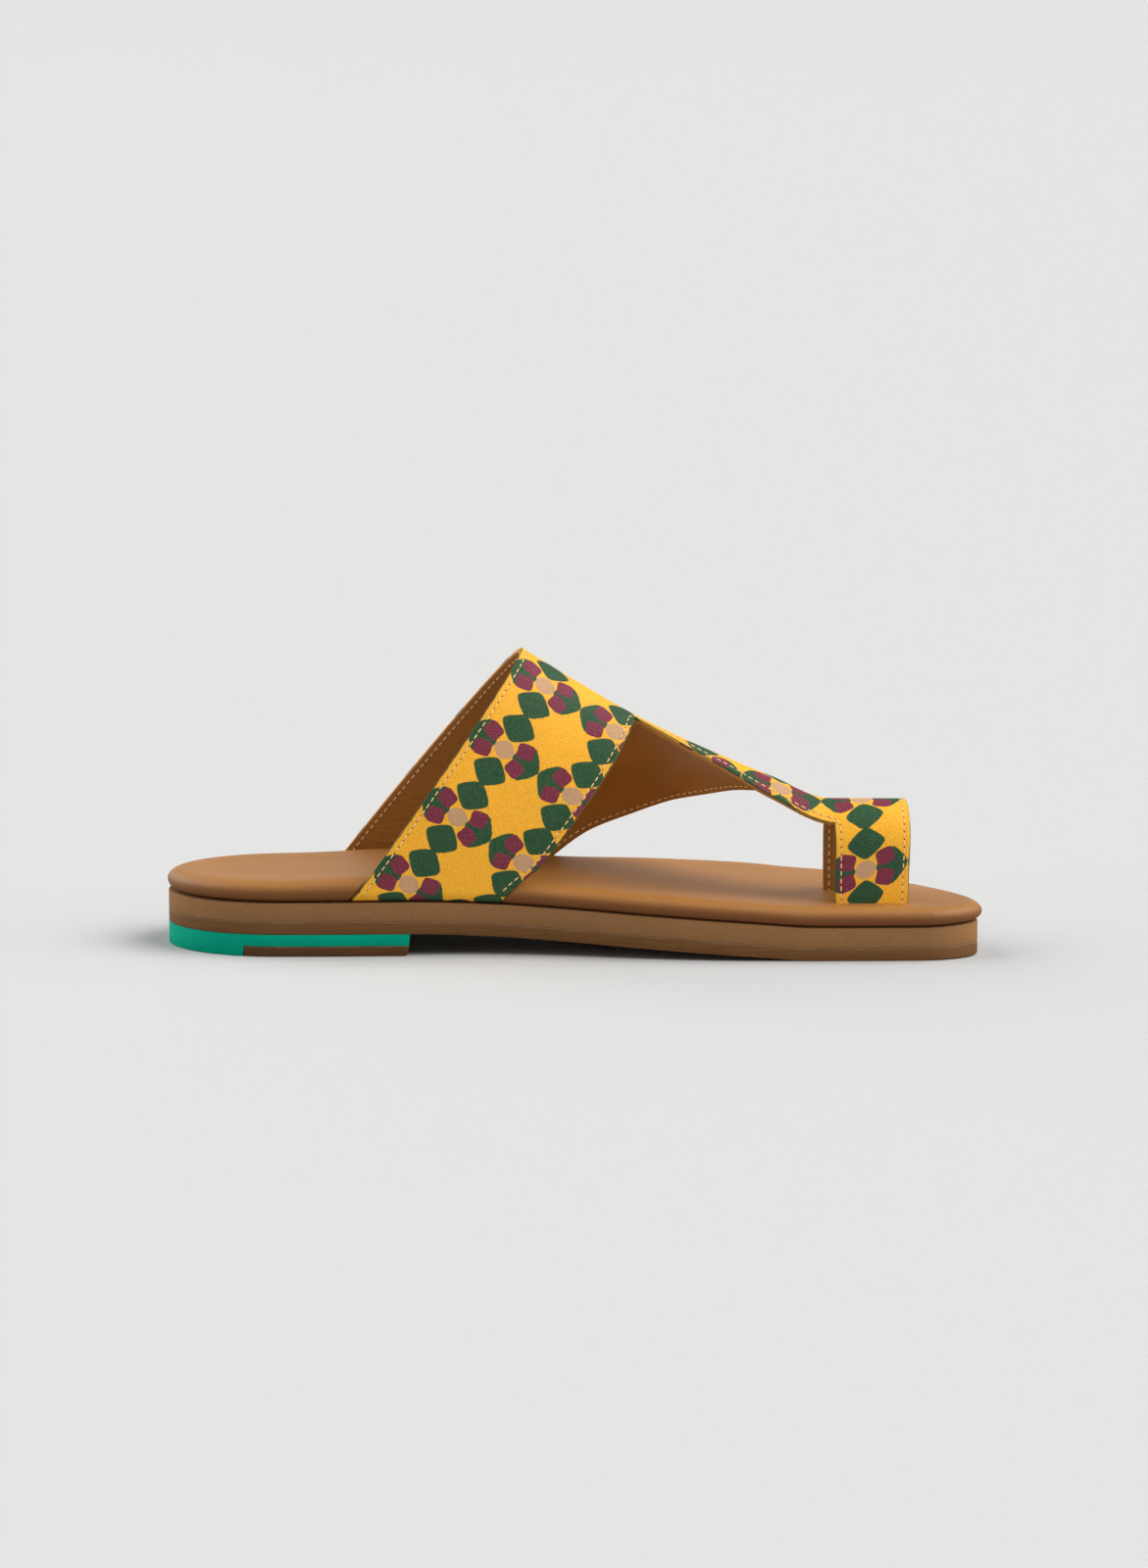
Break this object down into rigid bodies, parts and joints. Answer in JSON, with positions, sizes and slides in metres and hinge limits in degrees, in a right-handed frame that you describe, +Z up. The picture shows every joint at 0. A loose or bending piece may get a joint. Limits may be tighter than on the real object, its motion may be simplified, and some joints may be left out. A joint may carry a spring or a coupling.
{
  "type": "arabic sandal",
  "caption": "Left-foot arabic sandal: printed leather instep band, centre strip and big-toe ring in one upper, over a padded footbed, layered sole and low stepped heel.",
  "frame": {"origin": "bottom centre of the sandal's box, on the floor it stands on", "axes": "+X from heel to toe, +Y to the little-toe side, +Z up"},
  "size_m": [0.28, 0.093, 0.102],
  "materials": {
    "upper": "satin printed leather with a brown lining",
    "footbed": "soft tan leather with a low sheen",
    "midsole": "matt, fine felt-like grain",
    "outsole": "matt, fine sanded streaks",
    "heel_block": "satin",
    "heel_lift": "matt"
  },
  "bodies": {
    "root": {"upper": "upper", "footbed": "footbed", "midsole": "midsole", "outsole": "outsole", "heel_block": "heel_block", "heel_lift": "heel_lift"}
  },
  "joints": []
}
